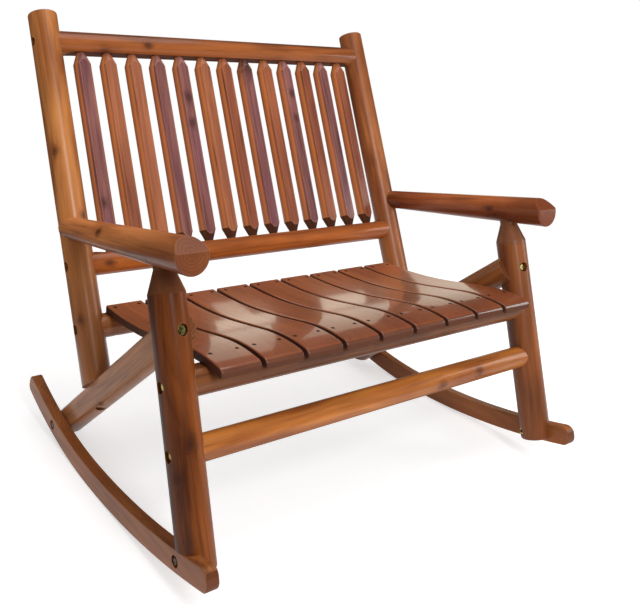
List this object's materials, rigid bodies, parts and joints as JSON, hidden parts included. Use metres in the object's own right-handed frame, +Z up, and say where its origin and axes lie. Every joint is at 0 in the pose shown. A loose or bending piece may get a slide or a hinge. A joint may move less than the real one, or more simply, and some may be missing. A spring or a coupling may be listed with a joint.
{
  "type": "rocking bench",
  "caption": "Two-seat rocking bench of round logs: raked post frames on curved runners, log arms, diagonal side braces, contoured slat seat and turned spindle back.",
  "frame": {"origin": "on the floor, under the middle of the bench's plan", "axes": "+Z is up, the bench faces -Y, +X is across the bench towards the sitter's left hand, and YZ is the plane of symmetry; a person standing in front of the bench sees -X on the left"},
  "size_m": [1.1076, 0.9894, 1.0562],
  "materials": {
    "post_wood": "satin",
    "log_wood": "satin",
    "spindle_wood": "satin",
    "slat_wood": "gloss",
    "rocker_wood": "satin",
    "fastener_steel": "satin",
    "nut_brass": "satin"
  },
  "bodies": {
    "root": {"arm_barrel_nuts": "nut_brass", "arm_bolts": "fastener_steel", "arm_left": "post_wood", "arm_right": "post_wood", "arm_washers": "fastener_steel", "back_bottom_rail": "log_wood", "back_post_barrel_nuts": "nut_brass", "back_post_bolts": "fastener_steel", "back_post_left": "post_wood", "back_post_right": "post_wood", "back_post_washers": "fastener_steel", "back_spindle_01": "spindle_wood", "back_spindle_02": "spindle_wood", "back_spindle_03": "spindle_wood", "back_spindle_04": "spindle_wood", "back_spindle_05": "spindle_wood", "back_spindle_06": "spindle_wood", "back_spindle_07": "spindle_wood", "back_spindle_08": "spindle_wood", "back_spindle_09": "spindle_wood", "back_spindle_10": "spindle_wood", "back_spindle_11": "spindle_wood", "back_spindle_12": "spindle_wood", "back_spindle_13": "spindle_wood", "back_top_rail": "log_wood", "brace_barrel_nuts": "nut_brass", "brace_bolts": "fastener_steel", "brace_washers": "fastener_steel", "foot_bolts": "fastener_steel", "foot_sleeve_nuts": "nut_brass", "foot_washers": "fastener_steel", "front_post_left": "log_wood", "front_post_right": "log_wood", "front_seat_rail": "log_wood", "front_stretcher": "log_wood", "rail_barrel_nuts": "nut_brass", "rail_bolts": "fastener_steel", "rail_washers": "fastener_steel", "rear_seat_rail": "log_wood", "rocker_left": "rocker_wood", "rocker_rear_bolts": "fastener_steel", "rocker_rear_sleeve_nuts": "nut_brass", "rocker_rear_washers": "fastener_steel", "rocker_right": "rocker_wood", "seat_screws": "fastener_steel", "seat_slat_1": "slat_wood", "seat_slat_2": "slat_wood", "seat_slat_3": "slat_wood", "seat_slat_4": "slat_wood", "seat_slat_5": "slat_wood", "seat_slat_6": "slat_wood", "seat_slat_7": "slat_wood", "seat_slat_8": "slat_wood", "seat_slat_9": "slat_wood", "side_brace_left": "log_wood", "side_brace_right": "log_wood"}
  },
  "joints": []
}
